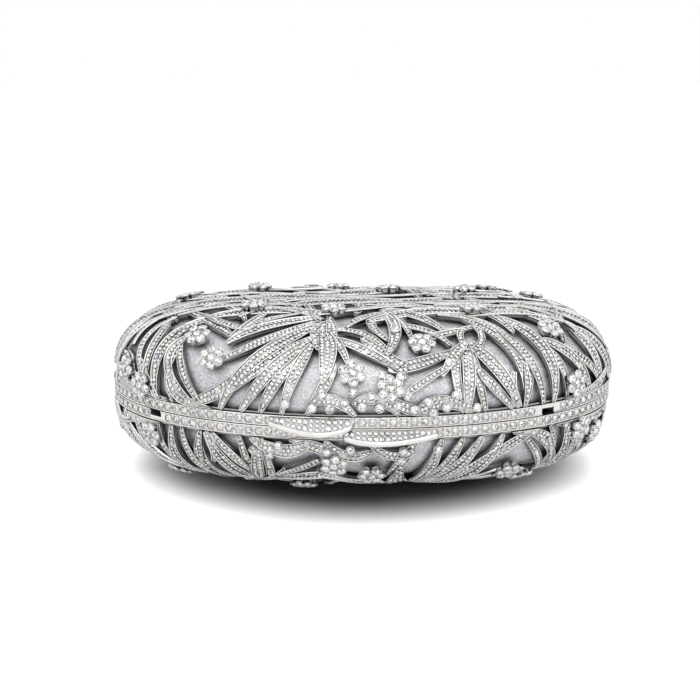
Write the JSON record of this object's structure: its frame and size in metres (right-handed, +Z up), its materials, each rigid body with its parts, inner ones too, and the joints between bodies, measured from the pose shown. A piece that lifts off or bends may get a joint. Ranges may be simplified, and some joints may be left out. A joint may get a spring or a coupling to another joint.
{
  "type": "evening clutch bag",
  "caption": "Oval hard-shell evening clutch: two hinged domed halves of leaf openwork set with crystals over glitter board, with thumb tabs and a sprung catch.",
  "frame": {"origin": "bottom centre of the whole bag as it lies on one face", "axes": "+X along the bag, +Y from the clasp to the hinge, +Z up through the bag's thickness"},
  "size_m": [0.2, 0.127, 0.0712],
  "materials": {
    "rim_metal": "polished silver-tone plating",
    "openwork_metal": "polished silver-tone casting, set with small crystals",
    "crystal": "clear faceted stones in metal cups",
    "glitter_board": "silver glitter cloth on moulded board",
    "satin": "grey satin lining",
    "steel": "plain steel"
  },
  "bodies": {
    "lower_half": {"lower_rim_frame": "rim_metal", "lower_openwork_cover": "openwork_metal", "lower_backing_shell": "glitter_board", "lower_lining": "satin", "lower_thumb_tab": "rim_metal", "lower_hinge_leaf": "rim_metal", "hinge_pin": "steel", "catch_bracket": "steel", "bracket_rivet_left": "steel", "bracket_rivet_right": "steel", "chain_lug_left": "rim_metal", "lower_floret_01": "crystal", "lower_floret_02": "crystal", "lower_floret_03": "crystal", "lower_floret_04": "crystal", "lower_floret_05": "crystal", "lower_floret_06": "crystal", "lower_floret_07": "crystal", "lower_floret_08": "crystal", "lower_floret_09": "crystal", "lower_floret_10": "crystal", "lower_floret_11": "crystal", "lower_floret_12": "crystal", "lower_floret_13": "crystal", "lower_floret_14": "crystal", "lower_floret_15": "crystal", "lower_floret_16": "crystal"},
    "upper_half": {"upper_rim_frame": "rim_metal", "upper_openwork_cover": "openwork_metal", "upper_backing_shell": "glitter_board", "upper_lining": "satin", "upper_thumb_tab": "rim_metal", "upper_hinge_leaf": "rim_metal", "striker_tongue": "steel", "striker_rivet_left": "steel", "striker_rivet_right": "steel", "chain_lug_right": "rim_metal", "upper_floret_01": "crystal", "upper_floret_02": "crystal", "upper_floret_03": "crystal", "upper_floret_04": "crystal", "upper_floret_05": "crystal", "upper_floret_06": "crystal", "upper_floret_07": "crystal", "upper_floret_08": "crystal", "upper_floret_09": "crystal", "upper_floret_10": "crystal", "upper_floret_11": "crystal", "upper_floret_12": "crystal", "upper_floret_13": "crystal", "upper_floret_14": "crystal", "upper_floret_15": "crystal", "upper_floret_16": "crystal"},
    "catch": {"catch_spring": "steel"},
    "left_ring": {"chain_ring_left": "rim_metal"},
    "right_ring": {"chain_ring_right": "rim_metal"}
  },
  "joints": [
    {"name": "lid_hinge", "type": "hinge", "parent": "lower_half", "child": "upper_half", "pos_m": [0, 0.06155, 0.0356], "axis": [-1, 0, 0], "range_deg": [0, 90]},
    {"name": "catch_flex", "type": "hinge", "parent": "lower_half", "child": "catch", "pos_m": [-0.00467, -0.05229, 0.02855], "axis": [-0.9997, 0.0238, 0], "range_deg": [0, 5], "stiffness_Nm_per_rad": 0.05},
    {"name": "left_ring_swing", "type": "hinge", "parent": "lower_half", "child": "left_ring", "pos_m": [-0.06681, -0.03566, 0.03343], "axis": [0.8626, -0.5058, 0], "range_deg": [0, 120]},
    {"name": "right_ring_swing", "type": "hinge", "parent": "upper_half", "child": "right_ring", "pos_m": [0.05886, -0.03978, 0.03778], "axis": [0.9094, 0.4159, 0], "range_deg": [0, 120]}
  ]
}
